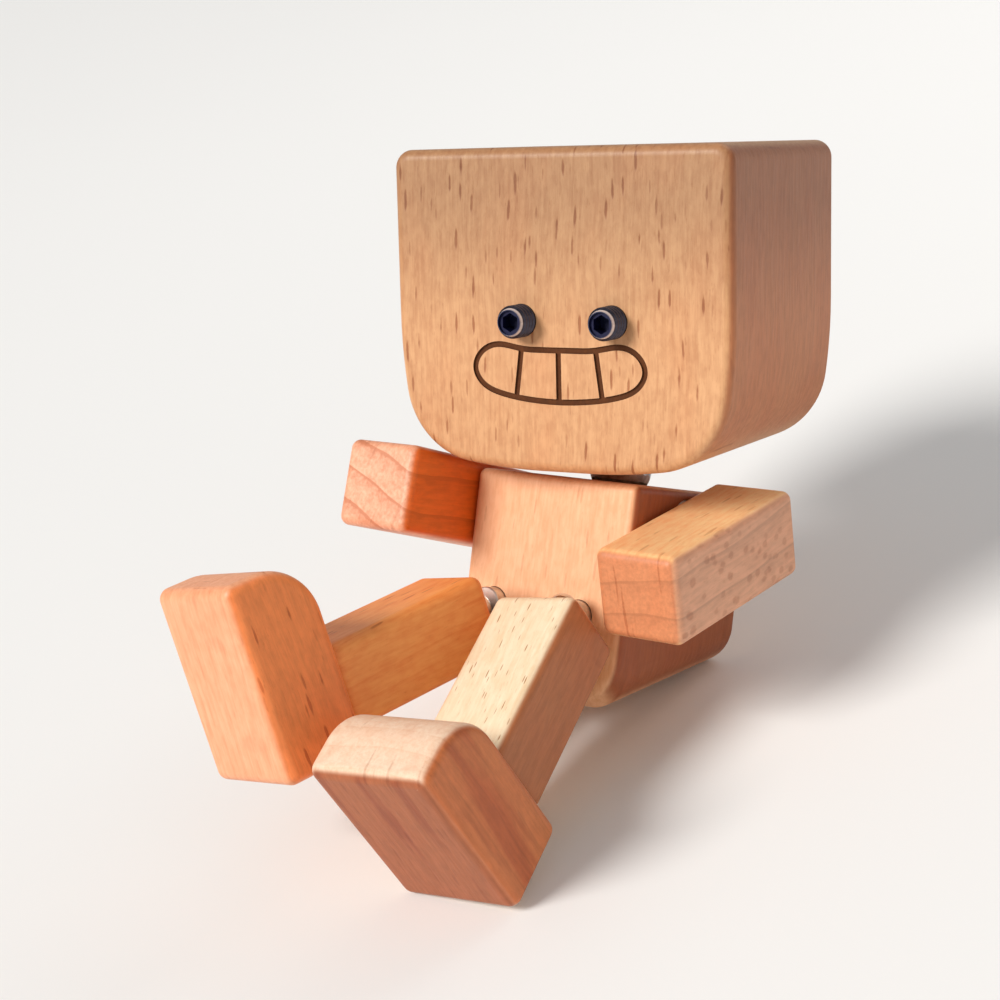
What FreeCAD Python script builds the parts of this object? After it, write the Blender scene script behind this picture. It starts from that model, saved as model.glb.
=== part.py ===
"""Wooden block doll: eight beech blocks held together by magnets and steel balls.

Every block is modelled in a frame of its own whose origin is the joint it hangs from
(the torso: the middle of its block), +X to the doll's left, +Y to its back, +Z up.
The blocks are then placed in the seated rest pose, +Z up, with the origin on the floor.
Lengths are millimetres and angles are degrees.
"""
import FreeCAD, Part
import os
import math
import Sketcher
from FreeCAD import Placement, Rotation, Vector

doc = FreeCAD.newDocument("BlockDoll")

# ---------------------------------------------------------------- driving dimensions
DIMENSIONS = [
    # head
    ("head_width", 45.0), ("head_depth", 33.6), ("head_height", 39.0),
    ("head_top_radius", 2.2), ("head_corner_radius", 10.3),
    ("head_easing_radius", 70.0), ("head_easing_turn", 8.0), ("head_edge_radius", 1.3),
    # torso
    ("torso_width", 25.0), ("torso_depth", 26.2), ("torso_height", 28.5),
    ("torso_back_height", 21.9), ("torso_corner_radius", 4.8), ("torso_lap_bevel", 2.0),
    ("torso_edge_radius", 1.1),
    # limbs: width across the doll, length along the limb, thickness
    ("arm_width", 11.4), ("arm_length", 27.0), ("arm_thickness", 11.0), ("arm_edge_radius", 1.2),
    ("leg_width", 12.0), ("leg_length", 24.0), ("leg_thickness", 10.6), ("leg_edge_radius", 1.3),
    ("foot_width", 16.4), ("foot_length", 24.0), ("foot_thickness", 11.4),
    ("instep_radius", 6.9), ("foot_edge_radius", 1.4),
    # joints
    ("neck_ball_radius", 4.0), ("hip_ball_radius", 2.0), ("ball_clearance", 0.2),
    ("neck_gap", 3.7), ("neck_side", 2.1), ("neck_forward", 2.1),
    ("hip_middle", -0.8), ("hip_side", 6.66), ("hip_drop", 2.68), ("hip_shift", 0.38),
    ("hip_magnet_proud", 1.7), ("hip_end_gap", 1.9),
    ("shoulder_height", 10.0), ("shoulder_forward", 1.7), ("shoulder_inset", 8.0),
    ("flush_gap", 0.2), ("ankle_drop", 4.75),
    # magnets
    ("ball_magnet_thickness", 3.0), ("disc_magnet_radius", 3.0), ("disc_magnet_thickness", 2.5),
    ("magnet_play", 0.1), ("magnet_bevel", 0.15),
    # face
    ("eye_radius", 2.0), ("eye_length", 8.0), ("eye_proud", 3.2), ("eye_spacing", 12.1),
    ("eye_side", 1.15), ("eye_height", 18.45), ("eye_hex_width", 2.0), ("eye_hex_depth", 2.2),
    ("eye_chamfer", 0.45), ("eye_rim_width", 0.12), ("eye_mouth_depth", 0.35),
    ("thread_pitch", 0.7), ("thread_depth", 0.3), ("eye_play", 0.03),
    ("grin_half_width", 11.4), ("grin_top", 14.95), ("grin_lobe", 0.55), ("grin_bottom", 8.7),
    ("grin_line", 0.72), ("grin_depth", 0.3), ("tooth_top", 5.0), ("tooth_bottom", 5.8),
    # rest pose of the blocks
    ("head_turn", 9.9), ("head_nod", 11.75), ("head_tilt", -2.5),
    ("left_arm_drop", 21.0), ("right_arm_drop", -4.2), ("arm_offset_back", 2.4),
    ("left_arm_low", 1.3), ("right_arm_low", 0.95),
    ("left_leg_splay", 8.6), ("left_leg_drop", 50.0), ("left_leg_roll", -11.2),
    ("right_leg_splay", -10.5), ("right_leg_drop", 23.6), ("right_leg_roll", -7.9),
    ("hip_offset", 0.84), ("left_foot_turn", 2.4), ("right_foot_turn", -0.8),
    # how the torso leans on the floor, and where the doll stands
    ("torso_lean", -29.93), ("stand_east", -1.153), ("stand_north", 9.548),
    ("stand_up", 12.9743),
]

sheet = doc.addObject("Spreadsheet::Sheet", "Dimensions")
for row, (alias, value) in enumerate(DIMENSIONS, start=1):
    sheet.set("A%d" % row, alias)
    sheet.set("B%d" % row, str(value))
    sheet.setAlias("B%d" % row, alias)
doc.recompute()


def size(alias):
    """The value of one driving dimension."""
    return float(sheet.get(alias))


def bind(thing, prop, formula):
    """Tie a property to the sheet. Each word in braces is one of the sheet's cells."""
    thing.setExpression(prop, formula.replace("{", "Dimensions.").replace("}", ""))


# ---------------------------------------------------------------- bodies and sketches
parts = []


def new_body(label):
    """A PartDesign body that will be written to a file named after its label."""
    body = doc.addObject("PartDesign::Body", label)
    body.Label = label
    parts.append(body)
    return body


def new_sketch(body, name, plane, offset=None):
    """A sketch on one of the body's origin planes, moved along its normal by a formula."""
    sketch = body.newObject("Sketcher::SketchObject", name)
    support = [f for f in body.Origin.OriginFeatures if f.Role == plane][0]
    sketch.AttachmentSupport = [(support, "")]
    sketch.MapMode = "FlatFace"
    if offset:
        bind(sketch, "AttachmentOffset.Base.z", offset)
    return sketch


def pin_down(sketch, geo, vertex, across, along):
    """Hold one point of a sketch at two formulas, measured from the sketch's origin."""
    for kind, word, formula in (("DistanceX", "across", across), ("DistanceY", "along", along)):
        label = "%s_%d_%d" % (word, geo, vertex)
        index = sketch.addConstraint(Sketcher.Constraint(kind, -1, 1, geo, vertex, 0.0))
        sketch.renameConstraint(index, label)
        bind(sketch, "Constraints." + label, formula)


def draw_polygon(sketch, corners):
    """A closed outline through corners, each held at its own pair of formulas."""
    count = len(corners)
    rough = [Vector(math.cos(2 * math.pi * i / count), math.sin(2 * math.pi * i / count), 0)
             for i in range(count)]
    for i in range(count):
        sketch.addGeometry(Part.LineSegment(rough[i], rough[(i + 1) % count]))
    for i in range(count):
        sketch.addConstraint(Sketcher.Constraint("Coincident", i, 2, (i + 1) % count, 1))
    for i, (across, along) in enumerate(corners):
        pin_down(sketch, i, 1, across, along)


def draw_circle(sketch, radius, across="0 mm", along="0 mm"):
    """A circle whose radius and centre follow formulas."""
    geo = sketch.addGeometry(Part.Circle(Vector(0, 0, 0), Vector(0, 0, 1), 1.0))
    index = sketch.addConstraint(Sketcher.Constraint("Radius", geo, 1.0))
    sketch.renameConstraint(index, "radius_%d" % geo)
    bind(sketch, "Constraints.radius_%d" % geo, radius)
    pin_down(sketch, geo, 3, across, along)


# ---------------------------------------------------------------- solid features
def pad(body, sketch, length):
    """Raise a sketch by the same amount to both sides of its plane."""
    feature = body.newObject("PartDesign::Pad", sketch.Name + "Pad")
    feature.Profile = sketch
    feature.SideType = "Symmetric"
    bind(feature, "Length", length)
    doc.recompute()
    return feature


def pocket(body, sketch, length, reverse=False):
    """Sink a sketch into the body. It has to take material away."""
    before = body.Shape.Volume
    feature = body.newObject("PartDesign::Pocket", sketch.Name + "Pocket")
    feature.Profile = sketch
    feature.Reversed = reverse
    bind(feature, "Length", length)
    doc.recompute()
    if not body.Shape.Volume < before - 0.01:
        raise RuntimeError(feature.Name + " cuts nothing")
    return feature


def fillet(body, name, radius, chosen):
    """Round the edges of the body's last feature that the test picks."""
    doc.recompute()
    base = body.Tip
    names = ["Edge%d" % n for n, edge in enumerate(base.Shape.Edges, start=1) if chosen(edge)]
    feature = body.newObject("PartDesign::Fillet", name)
    feature.Base = (base, names)
    bind(feature, "Radius", radius)
    doc.recompute()
    return feature


def runs_along(edge, axis):
    """True for a straight edge parallel to an axis."""
    if edge.Curve.TypeId != "Part::GeomLine":
        return False
    return abs(abs(edge.tangentAt(edge.FirstParameter).dot(axis)) - 1) < 1e-6


def middle(edge):
    """The centre of an edge's bounding box."""
    return edge.BoundBox.Center


def disc(label, plane, radius, start, length):
    """A flat round magnet. It starts at a distance along the plane's normal."""
    body = new_body(label)
    sketch = new_sketch(body, label + "Outline", plane, "(%s) + (%s) / 2" % (start, length))
    draw_circle(sketch, radius)
    blank = pad(body, sketch, length)
    rims = ["Edge%d" % n for n, edge in enumerate(blank.Shape.Edges, start=1)
            if edge.Curve.TypeId == "Part::GeomCircle"]
    feature = body.newObject("PartDesign::Chamfer", label + "Bevel")
    feature.Base = (blank, rims)
    bind(feature, "Size", "{magnet_bevel}")
    doc.recompute()
    return body


def ball(label, radius):
    """A steel ball about the origin: half a disc turned about its diameter."""
    body = new_body(label)
    sketch = new_sketch(body, label + "Outline", "XZ_Plane")
    rough = 1.0
    sketch.addGeometry(Part.ArcOfCircle(Part.Circle(Vector(0, 0, 0), Vector(0, 0, 1), rough),
                                        -math.pi / 2, math.pi / 2))
    sketch.addGeometry(Part.LineSegment(Vector(0, rough, 0), Vector(0, -rough, 0)))
    sketch.addConstraint(Sketcher.Constraint("Coincident", 0, 2, 1, 1))
    sketch.addConstraint(Sketcher.Constraint("Coincident", 1, 2, 0, 1))
    sketch.addConstraint(Sketcher.Constraint("Coincident", 0, 3, -1, 1))
    sketch.addConstraint(Sketcher.Constraint("PointOnObject", 1, 1, -2))
    sketch.addConstraint(Sketcher.Constraint("PointOnObject", 1, 2, -2))
    index = sketch.addConstraint(Sketcher.Constraint("Radius", 0, rough))
    sketch.renameConstraint(index, "radius")
    bind(sketch, "Constraints.radius", radius)
    feature = body.newObject("PartDesign::Revolution", label + "Turn")
    feature.Profile = sketch
    feature.ReferenceAxis = (sketch, ["V_Axis"])
    feature.Angle = 360
    doc.recompute()
    return body


X_AXIS = Vector(1, 0, 0)
Y_AXIS = Vector(0, 1, 0)
Z_AXIS = Vector(0, 0, 1)

# two places this close are the same place
NEAR = 1e-4

# a magnet's hole is wider than the magnet by its play all round
NECK_HOLE = "({neck_ball_radius} + {magnet_play})"
HIP_HOLE = "({hip_ball_radius} + {magnet_play})"
DISC_HOLE = "({disc_magnet_radius} + {magnet_play})"


# ---------------------------------------------------------------- head
def head_outline(sketch):
    """The left half of the face's outline: a near-square top and full, eased lower corners."""
    half = size("head_width") / 2
    low = size("neck_gap") / 2
    top = low + size("head_height")
    small = size("head_top_radius")
    main = size("head_corner_radius")
    ease = size("head_easing_radius")
    turn = math.radians(size("head_easing_turn"))

    def arc(centre, radius, start, end):
        circle = Part.Circle(centre, Vector(0, 0, 1), radius)
        return Part.ArcOfCircle(circle, start, end)

    # centres of the lower arcs, worked out from the bottom line inwards
    main_x = half - ease + (ease - main) * math.cos(turn)
    main_z = low + ease - (ease - main) * math.cos(turn)
    side_centre = Vector(half - ease, main_z + (ease - main) * math.sin(turn), 0)
    main_centre = Vector(main_x, main_z, 0)
    base_centre = Vector(main_x - (ease - main) * math.sin(turn), low + ease, 0)
    sketch.addGeometry(Part.LineSegment(Vector(0, top, 0), Vector(half - small, top, 0)))
    sketch.addGeometry(arc(Vector(half - small, top - small, 0), small, 0, math.pi / 2))
    sketch.addGeometry(Part.LineSegment(Vector(half, top - small, 0),
                                        Vector(half, side_centre.y, 0)))
    sketch.addGeometry(arc(side_centre, ease, -turn, 0))
    sketch.addGeometry(arc(main_centre, main, -math.pi / 2 + turn, -turn))
    sketch.addGeometry(arc(base_centre, ease, -math.pi / 2, -math.pi / 2 + turn))
    sketch.addGeometry(Part.LineSegment(Vector(base_centre.x, low, 0), Vector(0, low, 0)))
    sketch.addGeometry(Part.LineSegment(Vector(0, low, 0), Vector(0, top, 0)))
    # an arc's first point is where its angle is least, so the arcs run the other way round
    for first, first_end, second, second_end in (
            (0, 2, 1, 2), (1, 1, 2, 1), (2, 2, 3, 2), (3, 1, 4, 2), (4, 1, 5, 2), (5, 1, 6, 1)):
        sketch.addConstraint(Sketcher.Constraint("Tangent", first, first_end, second, second_end))
    sketch.addConstraint(Sketcher.Constraint("Coincident", 6, 2, 7, 1))
    sketch.addConstraint(Sketcher.Constraint("Coincident", 7, 2, 0, 1))
    sketch.addConstraint(Sketcher.Constraint("Horizontal", 0))
    sketch.addConstraint(Sketcher.Constraint("Vertical", 2))
    sketch.addConstraint(Sketcher.Constraint("Horizontal", 6))
    sketch.addConstraint(Sketcher.Constraint("PointOnObject", 7, 1, -2))
    sketch.addConstraint(Sketcher.Constraint("PointOnObject", 7, 2, -2))
    named = (
        ("top_radius", Sketcher.Constraint("Radius", 1, small), "{head_top_radius}"),
        ("side_easing", Sketcher.Constraint("Radius", 3, ease), "{head_easing_radius}"),
        ("main_radius", Sketcher.Constraint("Radius", 4, main), "{head_corner_radius}"),
        ("base_easing", Sketcher.Constraint("Radius", 5, ease), "{head_easing_radius}"),
        ("half_width", Sketcher.Constraint("DistanceX", -1, 1, 2, 1, half), "{head_width} / 2"),
        ("low", Sketcher.Constraint("DistanceY", -1, 1, 7, 1, low), "{neck_gap} / 2"),
        ("height", Sketcher.Constraint("DistanceY", 7, 1, 7, 2, top - low), "{head_height}"),
    )
    for label, constraint, formula in named:
        index = sketch.addConstraint(constraint)
        sketch.renameConstraint(index, label)
        bind(sketch, "Constraints." + label, formula)
    for geo, label in ((3, "side_turn"), (5, "base_turn")):
        index = sketch.addConstraint(Sketcher.Constraint("Angle", geo, turn))
        sketch.renameConstraint(index, label)
        bind(sketch, "Constraints." + label, "{head_easing_turn} * 1 deg")


def head_block():
    """The head, drilled for the neck ball and the eyes, with the grin burnt into its face."""
    body = new_body("head_block_blank")
    parts.remove(body)
    outline = new_sketch(body, "FaceHalf", "XZ_Plane")
    head_outline(outline)
    pad(body, outline, "{head_depth}")
    mirror = body.newObject("PartDesign::Mirrored", "FaceMirror")
    mirror.Originals = [body.Tip]
    mirror.MirrorPlane = (outline, ["V_Axis"])
    body.Tip = mirror
    doc.recompute()
    reach = size("head_depth") / 2
    fillet(body, "HeadEdges", "{head_edge_radius}",
           lambda edge: abs(abs(middle(edge).y) - reach) < NEAR)
    seat = new_sketch(body, "HeadBallSeat", "XY_Plane", "{neck_gap} / 2")
    draw_circle(seat, NECK_HOLE)
    pocket(body, seat, "{neck_ball_radius} + {ball_clearance} - {neck_gap} / 2"
                       " + {ball_magnet_thickness}", reverse=True)
    for label, sign in (("Left", "1"), ("Right", "-1")):
        hole = new_sketch(body, "EyeHole" + label, "XZ_Plane", "{head_depth} / 2")
        draw_circle(hole, "{eye_radius} + {eye_play}",
                    "{eye_side} + %s * {eye_spacing} / 2" % sign,
                    "{neck_gap} / 2 + {eye_height}")
        pocket(body, hole, "{eye_length} - {eye_proud}")
    cutter = doc.addObject("Part::Feature", "GrinCutter")
    cutter.Shape = grin_shape()
    cut = doc.addObject("Part::Cut", "head_block")
    cut.Label = "head_block"
    cut.Base = body
    cut.Tool = cutter
    doc.recompute()
    parts.append(cut)
    return cut


def face_beside(curve, distance):
    """The face inside a closed curve of the XZ plane after moving it sideways."""
    steps = 40
    span = (curve.LastParameter - curve.FirstParameter) / steps
    points = []
    for step in range(steps):
        at = curve.FirstParameter + step * span
        along = curve.tangent(at)[0]
        points.append(curve.value(at) + Vector(-along.z, 0, along.x) * distance)
    moved = Part.BSplineCurve()
    moved.interpolate(Points=points, PeriodicFlag=True)
    return Part.Face(Part.Wire([moved.toShape()]))


def grin_shape():
    """The burnt line as a solid: a closed smile with three strokes between four teeth."""
    base = size("neck_gap") / 2
    half = size("grin_half_width")
    top = base + size("grin_top")
    lobe = top + size("grin_lobe")
    bottom = base + size("grin_bottom")
    face = -size("head_depth") / 2
    line = size("grin_line")
    depth = size("grin_depth")
    # the right half from top to bottom: shares of the half width, and heights
    right = [(0.2, top), (0.41, top + 0.08), (0.55, top + 0.35), (0.74, lobe),
             (0.93, lobe - 1.05), (1.0, lobe - 2.9), (0.92, bottom + 2.1),
             (0.69, bottom + 0.85), (0.35, bottom + 0.2)]
    left = [(-share, height) for share, height in reversed(right)]
    points = [Vector(share * half, face + depth, height)
              for share, height in [(0, top)] + right + [(0, bottom)] + left]
    smile = Part.BSplineCurve()
    smile.interpolate(Points=points, PeriodicFlag=True)
    ring = face_beside(smile, line / 2).cut(face_beside(smile, -line / 2))
    pieces = [ring]
    stroke_end = bottom + line / 2
    for up, down in ((-size("tooth_top"), -size("tooth_bottom")), (0, 0),
                     (size("tooth_top"), size("tooth_bottom"))):
        corners = [(up - line / 2, top), (up + line / 2, top),
                   (down + line / 2, stroke_end), (down - line / 2, stroke_end)]
        stroke = [Vector(x, face + depth, z) for x, z in corners]
        pieces.append(Part.Face(Part.makePolygon(stroke + stroke[:1])))
    solids = [piece.extrude(Vector(0, -2 * depth, 0)) for piece in pieces]
    return solids[0].multiFuse(solids[1:]).removeSplitter().Solids[0]


head_block()
disc("head_neck_magnet", "XY_Plane", "{neck_ball_radius}",
     "{neck_ball_radius} + {ball_clearance}", "{ball_magnet_thickness}")


# ---------------------------------------------------------------- eyes
def eye_screw(label):
    """A socket set screw along -Y: its tip is at the origin and its socket end in front."""
    body = new_body(label)
    outline = new_sketch(body, label + "Half", "XY_Plane")
    radius = size("eye_radius")
    length = size("eye_length")
    bevel = size("eye_chamfer")
    root = radius - size("thread_depth")
    pitch = size("thread_pitch")
    corners = [(0, 0), (root - bevel, 0), (root, -bevel)]
    # every turn of the thread is a flat-topped ridge with sloping flanks
    turns = int((length - 2 * bevel) / pitch)
    for turn in range(turns):
        start = -bevel - turn * pitch
        corners += [(root, start - 0.1 * pitch), (radius, start - 0.4 * pitch),
                    (radius, start - 0.6 * pitch), (root, start - 0.9 * pitch)]
    corners += [(root, -length + bevel), (radius - bevel, -length), (0, -length)]
    points = [Vector(x, y, 0) for x, y in corners]
    for start, end in zip(points, points[1:] + points[:1]):
        outline.addGeometry(Part.LineSegment(start, end))
    solid = body.newObject("PartDesign::Revolution", label + "Turn")
    solid.Profile = outline
    solid.ReferenceAxis = (outline, ["V_Axis"])
    solid.Angle = 360
    doc.recompute()
    socket = new_sketch(body, label + "Hex", "XZ_Plane", "{eye_length}")
    flat = size("eye_hex_width") / 2
    corner = flat / math.cos(math.pi / 6)
    hexagon = [Vector(corner * math.sin(math.pi / 3 * i), corner * math.cos(math.pi / 3 * i), 0)
               for i in range(6)]
    for start, end in zip(hexagon, hexagon[1:] + hexagon[:1]):
        socket.addGeometry(Part.LineSegment(start, end))
    pocket(body, socket, "{eye_hex_depth}")
    mouth = new_sketch(body, label + "Mouth", "XZ_Plane", "{eye_length}")
    draw_circle(mouth, "{eye_radius} - {eye_chamfer} - {eye_rim_width}")
    pocket(body, mouth, "{eye_mouth_depth}")
    return body


eye_screw("left_eye_screw")
eye_screw("right_eye_screw")


# ---------------------------------------------------------------- torso
def torso_block():
    """The torso: a block with a sloping seat, bored for every joint that it carries."""
    body = new_body("torso_block")
    side = new_sketch(body, "TorsoSide", "YZ_Plane")
    draw_polygon(side, [("-{torso_depth} / 2", "{torso_height} / 2"),
                        ("-{torso_depth} / 2", "{torso_lap_bevel} - {torso_height} / 2"),
                        ("{torso_lap_bevel} - {torso_depth} / 2", "-{torso_height} / 2"
                         " + {torso_lap_bevel} * ({torso_height} - {torso_back_height})"
                         " / {torso_depth}"),
                        ("{torso_depth} / 2", "{torso_height} / 2 - {torso_back_height}"),
                        ("{torso_depth} / 2", "{torso_height} / 2")])
    pad(body, side, "{torso_width}")
    across = size("torso_width") / 2
    fillet(body, "SeatCorners", "{torso_corner_radius}",
           lambda edge: abs(abs(middle(edge).x) - across) < NEAR and middle(edge).z < 0
           and not runs_along(edge, Z_AXIS))
    fillet(body, "TorsoEdges", "{torso_edge_radius}",
           lambda edge: not runs_seatward(edge))
    neck = new_sketch(body, "NeckSeat", "XY_Plane", "{torso_height} / 2")
    draw_circle(neck, NECK_HOLE, "{neck_side}", "-{neck_forward}")
    pocket(body, neck, "{neck_ball_radius} + {ball_clearance} - {neck_gap} / 2"
                       " + {ball_magnet_thickness}")
    for label, sign in (("Left", "1"), ("Right", "-1")):
        hip = new_sketch(body, "HipHole" + label, "XZ_Plane", "{torso_depth} / 2")
        draw_circle(hip, HIP_HOLE, "{hip_middle} + " + sign + " * {hip_side}", "-{hip_drop}")
        pocket(body, hip, "{ball_magnet_thickness} - {hip_magnet_proud}")
        arm = new_sketch(body, "ShoulderHole" + label, "YZ_Plane", sign + " * {torso_width} / 2")
        draw_circle(arm, DISC_HOLE, "-{shoulder_forward}", "{shoulder_height}")
        pocket(body, arm, "{disc_magnet_thickness}", reverse=(label == "Right"))
    return body


def runs_seatward(edge):
    """True for the straight edges that the rounded seat corners leave along the slope."""
    if edge.Curve.TypeId != "Part::GeomLine":
        return False
    along = edge.tangentAt(edge.FirstParameter)
    return abs(along.y) > 0.9 and abs(along.z) > 0.05


torso_block()
disc("torso_neck_magnet", "XY_Plane", "{neck_ball_radius}",
     "-{neck_ball_radius} - {ball_clearance} - {ball_magnet_thickness}",
     "{ball_magnet_thickness}")
ball("neck_ball", "{neck_ball_radius}")
for name in ("left_hip_ball", "right_hip_ball"):
    ball(name, "{hip_ball_radius}")
for name in ("torso_left_hip_magnet", "torso_right_hip_magnet"):
    disc(name, "XZ_Plane", "{hip_ball_radius}",
         "-{ball_magnet_thickness}", "{ball_magnet_thickness}")
for name in ("torso_left_shoulder_magnet", "torso_right_shoulder_magnet"):
    disc(name, "YZ_Plane", "{disc_magnet_radius}",
         "-{disc_magnet_thickness} / 2", "{disc_magnet_thickness}")


# ---------------------------------------------------------------- limbs
def arm_block(label, sign):
    """An arm from its shoulder magnet: sign 1 lies on the doll's left, -1 on its right."""
    body = new_body(label)
    plan = new_sketch(body, label + "Plan", "XY_Plane")
    back = "{arm_length} / 2 - {shoulder_inset}"
    front = "-{arm_length} / 2 - {shoulder_inset}"
    outer = "%d * {arm_width}" % sign
    draw_polygon(plan, [("0 mm", front), (outer, front), (outer, back), ("0 mm", back)])
    pad(body, plan, "{arm_thickness}")
    fillet(body, label + "Edges", "{arm_edge_radius}", lambda edge: True)
    hole = new_sketch(body, label + "Hole", "YZ_Plane")
    draw_circle(hole, DISC_HOLE)
    pocket(body, hole, "{disc_magnet_thickness}", reverse=(sign > 0))
    return body


def leg_block(label):
    """A leg from the middle of its hip ball, with a ball seat behind and a magnet in front."""
    body = new_body(label)
    plan = new_sketch(body, label + "Plan", "XY_Plane")
    back = "-{hip_end_gap}"
    front = "-{hip_end_gap} - {leg_length}"
    draw_polygon(plan, [("-{leg_width} / 2", front), ("{leg_width} / 2", front),
                        ("{leg_width} / 2", back), ("-{leg_width} / 2", back)])
    pad(body, plan, "{leg_thickness}")
    fillet(body, label + "Edges", "{leg_edge_radius}", lambda edge: True)
    seat = new_sketch(body, label + "Seat", "XZ_Plane", "{hip_end_gap}")
    draw_circle(seat, HIP_HOLE)
    pocket(body, seat, "{hip_ball_radius} + {ball_clearance} - {hip_end_gap}"
                       " + {ball_magnet_thickness}", reverse=True)
    ankle = new_sketch(body, label + "Ankle", "XZ_Plane", "{hip_end_gap} + {leg_length}")
    draw_circle(ankle, DISC_HOLE)
    pocket(body, ankle, "{disc_magnet_thickness}")
    return body


def foot_block(label):
    """A foot from its ankle: the sole faces forwards, the toes point up over a round instep."""
    body = new_body(label)
    side = new_sketch(body, label + "Side", "YZ_Plane")
    back = "-{flush_gap}"
    sole = "-{flush_gap} - {foot_thickness}"
    toe = "{ankle_drop} + {foot_length} / 2"
    heel = "{ankle_drop} - {foot_length} / 2"
    draw_polygon(side, [(sole, heel), (back, heel), (back, toe), (sole, toe)])
    pad(body, side, "{foot_width}")
    instep = size("flush_gap")
    fillet(body, label + "Instep", "{instep_radius}",
           lambda edge: runs_along(edge, X_AXIS) and middle(edge).z > 0
           and abs(middle(edge).y + instep) < NEAR)
    fillet(body, label + "Edges", "{foot_edge_radius}",
           lambda edge: abs(middle(edge).x) > 1 or middle(edge).z < 0
           or middle(edge).y < -size("foot_thickness"))
    ankle = new_sketch(body, label + "Ankle", "XZ_Plane", "{flush_gap}")
    draw_circle(ankle, DISC_HOLE)
    pocket(body, ankle, "{disc_magnet_thickness}", reverse=True)
    return body


for side_name, side_sign in (("left", 1), ("right", -1)):
    arm_block(side_name + "_arm_block", side_sign)
    disc(side_name + "_arm_magnet", "YZ_Plane", "{disc_magnet_radius}",
         "-{disc_magnet_thickness} / 2", "{disc_magnet_thickness}")
    leg_block(side_name + "_leg_block")
    disc(side_name + "_leg_hip_magnet", "XZ_Plane", "{hip_ball_radius}",
         "{hip_ball_radius} + {ball_clearance}", "{ball_magnet_thickness}")
    disc(side_name + "_leg_ankle_magnet", "XZ_Plane", "{disc_magnet_radius}",
         "{hip_end_gap} + {leg_length} - {disc_magnet_thickness}", "{disc_magnet_thickness}")
    foot_block(side_name + "_foot_block")
    disc(side_name + "_foot_magnet", "XZ_Plane", "{disc_magnet_radius}",
         "{flush_gap}", "{disc_magnet_thickness}")


# ---------------------------------------------------------------- rest pose
def turned(across=0.0, nod=0.0, roll=0.0):
    """A turn about Z, then about the turned X, then about the turned Y."""
    return Rotation(Z_AXIS, across) * Rotation(X_AXIS, nod) * Rotation(Y_AXIS, roll)


def stand():
    """Where the torso is: it leans back until its seat edge and one heel reach the floor."""
    spot = Vector(size("stand_east"), size("stand_north"), size("stand_up"))
    return Placement(spot, turned(nod=size("torso_lean")))


def place_all():
    """Put every piece where its block is in the rest pose."""
    torso = stand()
    top = size("torso_height") / 2
    neck = Placement(Vector(size("neck_side"), -size("neck_forward"), top + size("neck_gap") / 2),
                     Rotation())
    head = neck * Placement(Vector(), turned(size("head_turn"), size("head_nod"),
                                             size("head_tilt")))
    places = {"torso_block": torso,
              "torso_neck_magnet": torso * neck,
              "neck_ball": torso * neck,
              "head_block": torso * head,
              "head_neck_magnet": torso * head}
    eye_deep = -size("head_depth") / 2 + size("eye_length") - size("eye_proud")
    eye_up = size("neck_gap") / 2 + size("eye_height")
    shoulder_side = size("torso_width") / 2
    half_disc = size("disc_magnet_thickness") / 2
    hip_y = -size("torso_depth") / 2 - size("hip_magnet_proud")
    ball_out = size("hip_ball_radius") + size("ball_clearance")
    ankle_y = -size("hip_end_gap") - size("leg_length")
    for side, sign in (("left", 1), ("right", -1)):
        eye_x = size("eye_side") + sign * size("eye_spacing") / 2
        eye = Placement(Vector(eye_x, eye_deep, eye_up), Rotation())
        places[side + "_eye_screw"] = torso * head * eye
        socket = Vector(sign * (shoulder_side - half_disc), -size("shoulder_forward"),
                        size("shoulder_height"))
        places["torso_%s_shoulder_magnet" % side] = torso * Placement(socket, Rotation())
        shoulder = Vector(sign * (shoulder_side + size("flush_gap")),
                          sign * size("arm_offset_back") - size("shoulder_forward"),
                          size("shoulder_height") - size(side + "_arm_low"))
        arm = torso * Placement(shoulder, turned(nod=size(side + "_arm_drop")))
        places[side + "_arm_block"] = arm
        places[side + "_arm_magnet"] = arm * Placement(Vector(sign * half_disc, 0, 0), Rotation())
        magnet = Vector(size("hip_middle") + sign * size("hip_side"), hip_y, -size("hip_drop"))
        places["torso_%s_hip_magnet" % side] = torso * Placement(magnet, Rotation())
        hip = magnet + Vector(size("hip_shift"), -ball_out, sign * size("hip_offset"))
        ball_place = torso * Placement(hip, Rotation())
        places[side + "_hip_ball"] = ball_place
        leg = ball_place * Placement(Vector(), turned(size(side + "_leg_splay"),
                                                      size(side + "_leg_drop"),
                                                      size(side + "_leg_roll")))
        places[side + "_leg_block"] = leg
        places[side + "_leg_hip_magnet"] = leg
        places[side + "_leg_ankle_magnet"] = leg
        foot = leg * Placement(Vector(0, ankle_y, 0), turned(roll=size(side + "_foot_turn")))
        places[side + "_foot_block"] = foot
        places[side + "_foot_magnet"] = foot
    for part in parts:
        part.Placement = places[part.Label]


place_all()
doc.recompute()

for thing in doc.Objects:
    if "Invalid" in thing.State or "Error" in thing.State:
        raise RuntimeError(thing.Label + " did not recompute: " + str(thing.State))
os.makedirs("parts", exist_ok=True)
for part in parts:
    if part.Shape.isNull() or not part.Shape.isValid() or len(part.Shape.Solids) != 1:
        raise RuntimeError(part.Label + " has no valid single solid")
for part in parts:
    part.Shape.exportStep("parts/%s.step" % part.Label)
print(len(parts), "parts written")
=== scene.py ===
"""The block doll's looks: beech with its rays and growth rings, plated screws and a burnt grin.

Metres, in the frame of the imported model. Every block keeps its own shape; the wood, the metal
and the scorched line are materials laid out in each block's own axes.
"""
import math

import bpy
import numpy as np
from mathutils import Matrix, Vector

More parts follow.
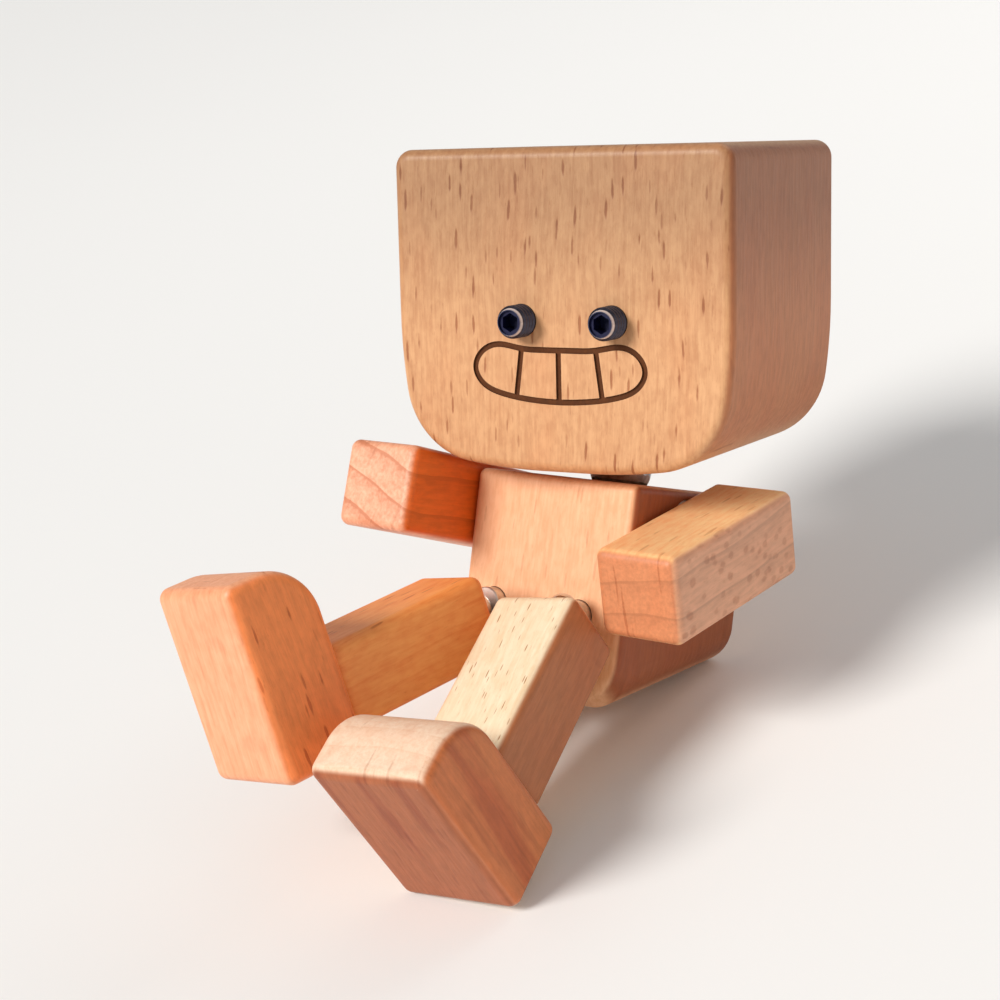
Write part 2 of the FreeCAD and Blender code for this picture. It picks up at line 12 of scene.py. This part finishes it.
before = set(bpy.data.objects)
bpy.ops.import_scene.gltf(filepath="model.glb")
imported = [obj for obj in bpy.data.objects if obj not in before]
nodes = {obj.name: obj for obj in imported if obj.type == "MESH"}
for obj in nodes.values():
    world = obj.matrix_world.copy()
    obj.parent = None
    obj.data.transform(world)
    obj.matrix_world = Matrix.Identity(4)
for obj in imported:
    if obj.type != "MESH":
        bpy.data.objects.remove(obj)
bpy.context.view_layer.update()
MM = 1000.0

# two directions count as the same, or as square to each other, within these cosines
SAME_WAY = 0.9995
SQUARE = 0.02


# ---------------------------------------------------------------- where each block's axes are
def block_axes(node):
    """A block's own axes, as rows, and the middle of its box along them, in millimetres.

    The axes are the normals of its largest flat faces, each named after the row axis that it
    is nearest to.
    """
    mesh = nodes[node].data
    flats = []
    for polygon in mesh.polygons:
        for flat in flats:
            if abs(flat[0].dot(polygon.normal)) > SAME_WAY:
                flat[1] += polygon.area
                break
        else:
            flats.append([polygon.normal.copy(), polygon.area])
    flats.sort(key=lambda flat: -flat[1])
    first = flats[0][0]
    second = next(f[0] for f in flats if abs(f[0].dot(first)) < SQUARE)
    found = [first, second, first.cross(second)]
    axes = []
    for world in (Vector((1, 0, 0)), Vector((0, 1, 0)), Vector((0, 0, 1))):
        nearest = max(found, key=lambda axis: abs(axis.dot(world)))
        axes.append(nearest * (1 if nearest.dot(world) > 0 else -1))
        found = [axis for axis in found if axis is not nearest]
    turn = Matrix(axes)
    spots = np.array([turn @ vertex.co for vertex in mesh.vertices]) * MM
    low, high = spots.min(0), spots.max(0)
    return turn, Vector((low + high) / 2), Vector((high - low) / 2)


# ---------------------------------------------------------------- node building
class Wiring:
    """A material's node tree with short ways to add and join its nodes."""

    def __init__(self, name):
        self.material = bpy.data.materials.new(name)
        self.material.use_nodes = True
        self.tree = self.material.node_tree
        self.tree.nodes.clear()
        output = self.tree.nodes.new("ShaderNodeOutputMaterial")
        self.shader = self.tree.nodes.new("ShaderNodeBsdfPrincipled")
        self.tree.links.new(self.shader.outputs["BSDF"], output.inputs["Surface"])

    def put(self, socket, value):
        """Give a socket a plain value, or join it to another node's output."""
        if isinstance(value, bpy.types.NodeSocket):
            self.tree.links.new(value, socket)
        else:
            socket.default_value = value

    def maths(self, operation, first, second=0.0, third=0.0, clamp=False):
        node = self.tree.nodes.new("ShaderNodeMath")
        node.operation = operation
        node.use_clamp = clamp
        for socket, value in zip(node.inputs, (first, second, third)):
            self.put(socket, value)
        return node.outputs[0]

    def vector(self, operation, first, second=(0, 0, 0)):
        node = self.tree.nodes.new("ShaderNodeVectorMath")
        node.operation = operation
        self.put(node.inputs[0], first)
        self.put(node.inputs[1], second)
        return node.outputs[0]

    def facing(self, normal, direction):
        """How nearly the surface faces a fixed direction: 1 towards it, -1 away from it."""
        node = self.tree.nodes.new("ShaderNodeVectorMath")
        node.operation = "DOT_PRODUCT"
        self.put(node.inputs[0], normal)
        node.inputs[1].default_value = direction
        return node.outputs["Value"]

    def ramp(self, value, low, high, start=0.0, end=1.0):
        """A smooth change from start to end as the value goes from low to high."""
        node = self.tree.nodes.new("ShaderNodeMapRange")
        node.interpolation_type = "SMOOTHSTEP"
        for name, setting in (("Value", value), ("From Min", low), ("From Max", high),
                              ("To Min", start), ("To Max", end)):
            self.put(node.inputs[name], setting)
        return node.outputs["Result"]

    def noise(self, vector, scale=1.0, detail=2.0, rough=0.5):
        node = self.tree.nodes.new("ShaderNodeTexNoise")
        self.put(node.inputs["Vector"], vector)
        self.put(node.inputs["Scale"], scale)
        self.put(node.inputs["Detail"], detail)
        self.put(node.inputs["Roughness"], rough)
        return node.outputs["Fac"]

    def mix(self, amount, first, second, blend="MIX"):
        node = self.tree.nodes.new("ShaderNodeMix")
        node.data_type = "RGBA"
        node.blend_type = blend
        self.put(node.inputs["Factor"], amount)
        self.put(node.inputs[6], first)
        self.put(node.inputs[7], second)
        return node.outputs[2]

    def stretched(self, vector, across, radial, along):
        """A vector scaled along its three axes: across the rays, along them, along the grain."""
        return self.vector("MULTIPLY", vector, (across, radial, along))

    def split(self, vector):
        node = self.tree.nodes.new("ShaderNodeSeparateXYZ")
        self.put(node.inputs[0], vector)
        return node.outputs

    def bump(self, height, strength, distance):
        node = self.tree.nodes.new("ShaderNodeBump")
        self.put(node.inputs["Height"], height)
        self.put(node.inputs["Strength"], strength)
        self.put(node.inputs["Distance"], distance)
        return node.outputs["Normal"]

    def dress(self, node_names):
        """Make this the only material of each named node."""
        for name in node_names:
            nodes[name].data.materials.clear()
            nodes[name].data.materials.append(self.material)


def srgb(red, green, blue):
    """A colour given by its screen values from 0 to 255."""
    def linear(value):
        value = value / 255
        return value / 12.92 if value <= 0.04045 else ((value + 0.055) / 1.055) ** 2.4
    return (linear(red), linear(green), linear(blue), 1.0)


# ---------------------------------------------------------------- beech
AXIS = {"x": 0, "y": 1, "z": 2}

# how often each kind of figure repeats in a millimetre: across the rays, along them, along
# the grain
WANDER = (0.06, 0.06, 0.035)
UNEVEN_YEARS = (0.02, 0.11, 0.01)
FIBRES = (2.4, 2.0, 0.16)
PORES = (7.0, 7.0, 0.8)
MOTTLE = (1.1, 1.1, 0.55)
BROAD = (0.14, 0.14, 0.07)
STREAKS = (0.42, 0.30, 0.018)
DASHES = (1.25, 0.07, 0.19)
SPOTS = (0.40, 0.62, 0.52)
RAGGED = (1.6, 1.6, 1.0)

# the smallest ray of each kind and how much bigger the biggest is, as shares of their spacing
DASH_SIZE = (0.12, 0.14)
SPOT_SIZE = (0.14, 0.28)
# the figure changes from flat grain to upright as a side turns between these two cosines
UPRIGHT = (0.5, 0.9)

# how far the fibres wander, in millimetres, and how far a year's edge does, in years
WANDER_REACH = 2.4
YEAR_SHIFT = 1.6
# where neighbouring seeds' blocks lie in the tree, across the rays and along the grain
SEED_STEP = (7.3, 11.9)
# how strongly the broad pink patches show
BLUSH = 0.4
# a face painted with the colour of the shade it stands in has this much of that colour's light in
# its dark wood
SHADED_FACE_DARK = 0.72

# what each mark multiplies the wood's colour by
BLUSH_TINT = (1.0, 0.86, 0.80, 1.0)
STREAK_TINT = (0.72, 0.50, 0.42, 1.0)
PORE_TINT = (0.70, 0.52, 0.42, 1.0)
RAY_TINT = (0.55, 0.37, 0.27, 1.0)
RUBBED_TINT = (0.96, 0.80, 0.68, 1.0)


def block_space(wires, node, grain, rays):
    """Millimetres from the block's middle, in order: across the rays, along them, the grain.

    Also gives the block's half sizes and its three axes in that order, its axes in their own
    order, and the surface's direction.
    """
    turn, middle, half = block_axes(node)
    third = [name for name in "xyz" if name not in (grain, rays)][0]
    picked = [AXIS[third], AXIS[rays], AXIS[grain]]
    order = Matrix([turn[index] for index in picked])
    offset = -Vector([middle[index] for index in picked])
    reach = Vector([half[index] for index in picked])
    if order.determinant() < 0:
        # the three axes must make a right-handed set to be a turn
        order[0] = -order[0]
        offset[0] = -offset[0]
    where = wires.tree.nodes.new("ShaderNodeTexCoord")
    place = wires.tree.nodes.new("ShaderNodeMapping")
    wires.put(place.inputs["Vector"], where.outputs["Object"])
    place.inputs["Scale"].default_value = (MM, MM, MM)
    place.inputs["Rotation"].default_value = order.to_euler()
    place.inputs["Location"].default_value = offset
    return place.outputs["Vector"], reach, order, turn, where.outputs["Normal"]


def tree_space(wires, local, seed, pith, tilt, twist):
    """Where a point was in the tree: the block lies askew in it, and its fibres wander."""
    slant = wires.tree.nodes.new("ShaderNodeMapping")
    wires.put(slant.inputs["Vector"], local)
    slant.inputs["Rotation"].default_value = (math.radians(tilt), math.radians(-0.6 * tilt),
                                              math.radians(twist))
    slant.inputs["Location"].default_value = (SEED_STEP[0] * seed, pith, SEED_STEP[1] * seed)
    wander = wires.tree.nodes.new("ShaderNodeTexNoise")
    wires.put(wander.inputs["Vector"], wires.stretched(slant.outputs["Vector"], *WANDER))
    wander.inputs["Scale"].default_value = 1.0
    shift = wires.vector("SUBTRACT", wander.outputs["Color"], (0.5, 0.5, 0.5))
    return wires.vector("ADD", slant.outputs["Vector"],
                        wires.vector("MULTIPLY", shift, (WANDER_REACH, WANDER_REACH, 0.0)))


def growth(wires, tree, seed, ring):
    """How far into the dark end of its year the wood is, and the thin line that ends it."""
    across, radial = wires.split(tree)[:2]
    centred = wires.maths("SUBTRACT", across, SEED_STEP[0] * seed)
    distance = wires.maths("SQRT", wires.maths("ADD", wires.maths("POWER", centred, 2.0),
                                               wires.maths("POWER", radial, 2.0)))
    uneven = wires.noise(wires.stretched(tree, *UNEVEN_YEARS), 1.0, 1.0)
    years = wires.maths("ADD", wires.maths("DIVIDE", distance, ring),
                        wires.maths("MULTIPLY", uneven, YEAR_SHIFT))
    year = wires.maths("FRACT", years)
    late = wires.ramp(year, 0.35, 0.97)
    line = wires.maths("MULTIPLY", wires.ramp(year, 0.86, 0.97),
                       wires.ramp(year, 0.97, 1.0, 1.0, 0.0))
    return late, line


def flecks(wires, tree, scale, smallest, spread):
    """Scattered long bodies cut by the surface: 1 inside one, 0 outside, each its own depth."""
    cell = wires.tree.nodes.new("ShaderNodeTexVoronoi")
    cell.feature = "F1"
    wires.put(cell.inputs["Vector"], wires.stretched(tree, *scale))
    cell.inputs["Scale"].default_value = 1.0
    chance = wires.split(cell.outputs["Color"])[0]
    size = wires.maths("MULTIPLY_ADD", chance, spread, smallest)
    ragged = wires.noise(wires.stretched(tree, *RAGGED), 1.0, 2.0)
    near = wires.maths("MULTIPLY_ADD", ragged, 0.9,
                       wires.maths("DIVIDE", cell.outputs["Distance"], size))
    return wires.maths("MULTIPLY", wires.ramp(near, 1.10, 1.65, 1.0, 0.0),
                       wires.ramp(chance, 0.15, 0.85, 0.25, 1.0))


def beech(node, pale, dark, grain, rays, seed, pith=60.0, ring=2.6, rings=0.5, dashes=1.0,
          spots=0.0, bands=0.0, tilt=2.0, twist=0.0, fine=1.0, faces=(), crown=1.0,
          grin=False):
    """Wood for one block. Grain and rays name the block's axes they run along.

    pith is how far the heart of the tree is from the block's middle along its rays and ring the
    width of a year's growth, both in millimetres. tilt and twist set the block askew in the
    tree, in degrees. rings, dashes, spots and bands are how strongly the years, the rays on
    the flat grain, the rays on the upright grain and the dark streaks show, and fine is how
    small and close the dashes are. faces lists sides of the block painted with shade, as an
    axis, a sign and the darker colour painted there for the shade that side stands in. crown
    is how bright the far end of the grain is beside the near end. grin says that the face has
    the burnt line.
    """
    wires = Wiring(node + "_beech")
    local, reach, order, turn, normal = block_space(wires, node, grain, rays)
    tree = tree_space(wires, local, seed, pith, tilt, twist)
    late, line = growth(wires, tree, seed, ring)

    # fibres and pores: streaks along the grain and dots on the end; mottle: softer unevenness
    fibres = wires.noise(wires.stretched(tree, *FIBRES), 1.0, 3.0, 0.6)
    pores = wires.noise(wires.stretched(tree, *PORES), 1.0, 2.0, 0.6)
    pore = wires.ramp(pores, 0.62, 0.72)
    mottle = wires.noise(wires.stretched(tree, *MOTTLE), 1.0, 3.0, 0.55)

    # rays: dashes on the flat grain and lines on the end; ragged spots on the upright grain
    edge_on = wires.maths("ABSOLUTE", wires.facing(normal, order[0]))
    dash = flecks(wires, tree, [fine * often for often in DASHES], *DASH_SIZE)
    dash = wires.maths("MULTIPLY", dash, wires.ramp(edge_on, *UPRIGHT, dashes, 0.15 * dashes))
    spot = flecks(wires, tree, SPOTS, *SPOT_SIZE)
    spot = wires.maths("MULTIPLY", spot, wires.ramp(edge_on, *UPRIGHT, 0.0, spots))
    ray = wires.maths("ADD", dash, spot, clamp=True)

    # colour: pale and dark wood, then painted shade on the listed faces that stand in shade, then
    # years, pinks and marks
    for axis, sign, colour in faces:
        amount = wires.ramp(wires.facing(normal, turn[AXIS[axis]] * sign), 0.45, 0.85)
        pale = wires.mix(amount, pale, colour)
        dark = wires.mix(amount, dark, [SHADED_FACE_DARK * part for part in colour[:3]] + [1.0])
    shade = wires.maths("MULTIPLY_ADD", late, 0.40 * rings,
                        wires.maths("MULTIPLY", wires.ramp(fibres, 0.30, 0.72), 0.42))
    shade = wires.maths("MULTIPLY_ADD", line, 0.60 * rings, shade)
    shade = wires.maths("MULTIPLY_ADD", wires.ramp(mottle, 0.36, 0.66), 0.30, shade, clamp=True)
    wood = wires.mix(shade, pale, dark)
    broad = wires.noise(wires.stretched(tree, *BROAD), 1.0, 2.0)
    wood = wires.mix(wires.ramp(broad, 0.42, 0.66, 0.0, BLUSH), wood, BLUSH_TINT, "MULTIPLY")
    if crown != 1.0:
        height_up = wires.split(local)[2]
        wood = wires.mix(wires.ramp(height_up, -0.3 * reach[2], 0.8 * reach[2]), wood,
                         (crown, crown * 0.99, crown * 0.98, 1.0), "MULTIPLY")
    if bands:
        band = wires.noise(wires.stretched(tree, *STREAKS), 1.0, 2.0, 0.6)
        end_on = wires.maths("ABSOLUTE", wires.facing(normal, order[2]))
        streaks = wires.maths("MULTIPLY", wires.ramp(band, 0.52, 0.66),
                              wires.ramp(end_on, 0.4, 0.8, bands, 0.2 * bands))
        wood = wires.mix(streaks, wood, STREAK_TINT, "MULTIPLY")
    wood = wires.mix(wires.maths("MULTIPLY", pore, 0.30), wood, PORE_TINT, "MULTIPLY")
    wood = wires.mix(ray, wood, RAY_TINT, "MULTIPLY")

    # edges: handled corners are rubbed smooth and have taken a warmer colour
    sides = [wires.maths("SUBTRACT", half, wires.maths("ABSOLUTE", part))
             for half, part in zip(reach, wires.split(local))]
    nearest = wires.maths("MINIMUM", sides[0], sides[1])
    other = wires.maths("MAXIMUM", sides[0], sides[1])
    edge = wires.maths("MAXIMUM", nearest, wires.maths("MINIMUM", other, sides[2]))
    grubby = wires.noise(local, 0.5, 3.0, 0.6)
    rubbed = wires.ramp(wires.maths("MULTIPLY_ADD", grubby, 0.9, edge), 0.35, 1.9, 1.0, 0.0)
    wood = wires.mix(wires.maths("MULTIPLY", rubbed, 0.55), wood, RUBBED_TINT, "MULTIPLY")

    rough = wires.maths("MULTIPLY_ADD", fibres, 0.16, 0.42)
    rough = wires.maths("MULTIPLY_ADD", rubbed, -0.10, rough)
    height = wires.maths("MULTIPLY_ADD", pore, -0.35, fibres)
    height = wires.maths("MULTIPLY_ADD", ray, -0.5, height)
    if grin:
        wood, rough = burnt(wires, local, reach, wood, rough)
    wires.put(wires.shader.inputs["Base Color"], wood)
    wires.put(wires.shader.inputs["Roughness"], rough)
    wires.put(wires.shader.inputs["Normal"], wires.bump(height, 0.35, 0.00012))
    wires.shader.inputs["Specular IOR Level"].default_value = 0.40
    wires.shader.inputs["Coat Weight"].default_value = 0.05
    wires.shader.inputs["Coat Roughness"].default_value = 0.35
    wires.dress([node])


# the grin's room on the face, in millimetres: in from the sides, and up from the head's foot
GRIN_INSET = 6.0
GRIN_LOW = 4.0
GRIN_HIGH = 17.2
# the burnt groove's walls and floor lie between these depths behind the face
CHAR_STARTS = (0.01, 0.05)
CHAR_ENDS = (0.5, 0.6)


def burnt(wires, local, reach, wood, rough):
    """The grin: whatever lies just below the face, above the neck and under the eyes, is char."""
    across, radial, along = wires.split(local)
    below = wires.maths("ADD", radial, reach[1])
    char = wires.maths("MULTIPLY", wires.ramp(below, *CHAR_STARTS),
                       wires.ramp(below, *CHAR_ENDS, 1.0, 0.0))
    inside = wires.maths("LESS_THAN", wires.maths("ABSOLUTE", across), reach[0] - GRIN_INSET)
    low = wires.maths("GREATER_THAN", along, GRIN_LOW - reach[2])
    high = wires.maths("LESS_THAN", along, GRIN_HIGH - reach[2])
    for limit in (inside, low, high):
        char = wires.maths("MULTIPLY", char, limit)
    soot = wires.noise(local, 2.2, 3.0, 0.6)
    black = wires.mix(soot, srgb(68, 32, 5), srgb(106, 56, 12))
    wood = wires.mix(char, wood, black)
    rough = wires.maths("MAXIMUM", rough, wires.maths("MULTIPLY", char, 0.85))
    return wood, rough


# ---------------------------------------------------------------- metal
# a screw's end inside its chamfer, painted blue-black as the socket's shade and dark reflection,
# as radii, and how deep the chamfer with its painted highlight is, in mm
END_SHADE_EDGE = (1.50, 1.62)
CHAMFER_EDGE = (0.40, 0.55)


def metal(name, node_names, colour, dark, rough, scale):
    """Plated metal with fine scratches and a little tarnish."""
    wires = Wiring(name)
    where = wires.tree.nodes.new("ShaderNodeTexCoord")
    spot = wires.vector("MULTIPLY", where.outputs["Object"], (MM, MM, MM))
    scratch = wires.noise(wires.stretched(spot, scale, scale, 8 * scale), 1.0, 4.0, 0.65)
    cloud = wires.noise(spot, 0.9, 3.0, 0.55)
    wires.put(wires.shader.inputs["Base Color"],
              wires.mix(wires.ramp(cloud, 0.38, 0.7), colour, dark))
    wires.put(wires.shader.inputs["Roughness"],
              wires.maths("MULTIPLY_ADD", scratch, 0.16, rough))
    wires.put(wires.shader.inputs["Normal"], wires.bump(scratch, 0.12, 0.00003))
    wires.shader.inputs["Metallic"].default_value = 1.0
    wires.dress(node_names)


def eye_metal(node):
    """A set screw: an end painted blue-black as the socket's shade and dark reflection, inside a
    chamfer painted bright as a highlight, and a dark plated thread.
    """
    wires = Wiring(node + "_plating")
    turn = block_axes("head_block")[0]
    spots = np.array([turn @ vertex.co for vertex in nodes[node].data.vertices]) * MM
    low, high = spots.min(0), spots.max(0)
    middle = (low + high) / 2
    where = wires.tree.nodes.new("ShaderNodeTexCoord")
    place = wires.tree.nodes.new("ShaderNodeMapping")
    wires.put(place.inputs["Vector"], where.outputs["Object"])
    place.inputs["Scale"].default_value = (MM, MM, MM)
    place.inputs["Rotation"].default_value = turn.to_euler()
    place.inputs["Location"].default_value = (-middle[0], -low[1], -middle[2])
    local = place.outputs["Vector"]
    across, depth, up = wires.split(local)
    radius = wires.maths("SQRT", wires.maths("ADD", wires.maths("POWER", across, 2.0),
                                             wires.maths("POWER", up, 2.0)))
    scratch = wires.noise(wires.stretched(local, 3.0, 0.6, 3.0), 1.0, 4.0, 0.65)
    # painted shade and dark reflection: the end round the hex socket is painted blue-black
    painted_end_shade = wires.ramp(radius, *END_SHADE_EDGE, 1.0, 0.0)
    # painted highlight: the chamfer ring is painted bright
    chamfer = wires.ramp(depth, *CHAMFER_EDGE, 1.0, 0.0)
    thread = wires.mix(scratch, srgb(44, 42, 52), srgb(92, 88, 98))
    bright = wires.mix(scratch, srgb(196, 198, 208), srgb(238, 238, 242))
    navy = wires.mix(scratch, srgb(6, 7, 30), srgb(20, 24, 74))
    metal_with_painted_light = wires.mix(chamfer, thread, bright)
    wires.put(wires.shader.inputs["Base Color"], wires.mix(painted_end_shade, metal_with_painted_light, navy))
    wires.put(wires.shader.inputs["Roughness"],
              wires.maths("MULTIPLY_ADD", scratch, 0.2,
                          wires.maths("MULTIPLY_ADD", painted_end_shade, 0.16, 0.20)))
    # the painted shade and the painted highlight are made less metallic
    painted = wires.maths("MAXIMUM", painted_end_shade, chamfer)
    wires.put(wires.shader.inputs["Metallic"], wires.maths("MULTIPLY_ADD", painted, -0.6, 1.0))
    wires.put(wires.shader.inputs["Normal"], wires.bump(scratch, 0.15, 0.00003))
    wires.dress([node])


# ---------------------------------------------------------------- materials on the nodes
# painted shade: each faces list gives the block's sides that stand in shade a darker, warmer
# colour; the right arm's orange inner side also paints warm light bounced off the torso
beech("head_block", srgb(220, 168, 121), srgb(187, 129, 86), "z", "y", 1.0,
      pith=200, rings=0.12, dashes=0.9, crown=0.63, grin=True,
      faces=[("x", 1, srgb(196, 124, 79))])
beech("torso_block", srgb(241, 189, 146), srgb(221, 158, 111), "z", "y", 2.1, pith=150,
      rings=0.2, dashes=0.35, faces=[("x", 1, srgb(164, 87, 44))])
# the left arm's colours are partly painted light: they are raised to lift the head's shadow off
# its top
beech("left_arm_block", srgb(255, 214, 156), srgb(246, 174, 116), "y", "z", 3.4, pith=46,
      ring=4.4, rings=0.7, dashes=0.5, spots=0.45, tilt=3, twist=4,
      faces=[("y", -1, srgb(224, 146, 101)), ("x", 1, srgb(234, 172, 136))])
beech("right_arm_block", srgb(250, 188, 154), srgb(206, 132, 96), "y", "z", 4.2, pith=60,
      ring=4.0, rings=0.9, dashes=0.3, tilt=3, twist=-22,
      faces=[("x", 1, srgb(240, 117, 35))])
beech("left_leg_block", srgb(245, 230, 200), srgb(231, 202, 162), "y", "z", 5.7, pith=120,
      rings=0.2, dashes=1.0, fine=2.0, faces=[("x", 1, srgb(190, 117, 72))])
beech("right_leg_block", srgb(252, 173, 97), srgb(237, 139, 69), "y", "z", 6.3, pith=120,
      rings=0.25, dashes=0.8)
beech("left_foot_block", srgb(242, 214, 188), srgb(230, 187, 154), "z", "y", 7.9, pith=70,
      rings=0.3, dashes=0.35, bands=0.7,
      faces=[("y", -1, srgb(176, 101, 62)), ("x", 1, srgb(216, 126, 71))])
beech("right_foot_block", srgb(244, 176, 134), srgb(225, 145, 101), "z", "x", 8.6, pith=80,
      rings=0.3, dashes=0.8, faces=[("x", 1, srgb(252, 146, 80))])

eye_metal("left_eye_screw")
eye_metal("right_eye_screw")
metal("polished_steel", ["neck_ball", "left_hip_ball", "right_hip_ball"], srgb(220, 222, 224),
      srgb(186, 188, 192), 0.10, 0.8)
metal("nickel_magnet", [name for name in nodes if name.endswith("magnet")],
      srgb(226, 220, 212), srgb(196, 190, 184), 0.34, 0.9)


# ---------------------------------------------------------------- floor, light and camera
def plain(name, colour, rough):
    """A plain surface with only a faint unevenness, for the floor."""
    wires = Wiring(name)
    where = wires.tree.nodes.new("ShaderNodeTexCoord")
    cloud = wires.noise(where.outputs["Object"], 6.0, 2.0)
    wires.put(wires.shader.inputs["Base Color"],
              wires.mix(cloud, colour, tuple(0.985 * c for c in colour[:3]) + (1.0,)))
    wires.shader.inputs["Roughness"].default_value = rough
    return wires.material


FLOOR_ACROSS = 60.0
bpy.ops.mesh.primitive_plane_add(size=FLOOR_ACROSS, location=(0, 0, 0))
floor = bpy.context.object
floor.name = "floor"
floor.data.materials.append(plain("pale_floor", (0.86, 0.86, 0.85, 1.0), 0.7))


def area_light(name, spot, target, size, power, colour):
    """A soft square light at a spot, turned to face a target."""
    light = bpy.data.lights.new(name, "AREA")
    light.shape = "SQUARE"
    light.size = size
    light.energy = power
    light.color = colour
    thing = bpy.data.objects.new(name, light)
    thing.location = spot
    thing.rotation_euler = (Vector(target) - Vector(spot)).to_track_quat("-Z", "Y").to_euler()
    bpy.context.scene.collection.objects.link(thing)


def sun_light(name, direction, power, spread, colour):
    """A far lamp shining along a direction, its disc wide enough for soft shadows."""
    light = bpy.data.lights.new(name, "SUN")
    light.energy = power
    light.angle = math.radians(spread)
    light.color = colour
    thing = bpy.data.objects.new(name, light)
    thing.rotation_euler = Vector(direction).to_track_quat("-Z", "Y").to_euler()
    bpy.context.scene.collection.objects.link(thing)


CHEST = (0.0, -0.005, 0.030)
sun_light("key", (0.20, 0.55, -0.52), 3.0, 22.0, (1.0, 0.97, 0.93))
area_light("fill", (0.55, -0.25, 0.25), CHEST, 0.50, 0.35, (1.0, 0.88, 0.76))
area_light("back", (0.10, 0.50, 0.45), CHEST, 0.40, 0.7, (1.0, 0.98, 0.96))

world = bpy.data.worlds.new("studio")
world.use_nodes = True
background = world.node_tree.nodes["Background"]
background.inputs["Color"].default_value = (0.93, 0.94, 0.96, 1.0)
background.inputs["Strength"].default_value = 0.38
bpy.context.scene.world = world
bpy.context.scene.view_settings.view_transform = "Standard"

# metres, degrees and millimetres
CAMERA_SPOT = (0.14958, -0.17024, 0.13285)
CAMERA_TURN = (65.509, 12.109, 37.028)
CAMERA_LENS = 72.93
camera = bpy.data.cameras.new("camera")
camera.sensor_width = 36.0
camera.lens = CAMERA_LENS
camera.clip_start = 0.01
camera.clip_end = 20.0
camera_object = bpy.data.objects.new("camera", camera)
camera_object.location = CAMERA_SPOT
camera_object.rotation_euler = [math.radians(angle) for angle in CAMERA_TURN]
bpy.context.scene.collection.objects.link(camera_object)
bpy.context.scene.camera = camera_object
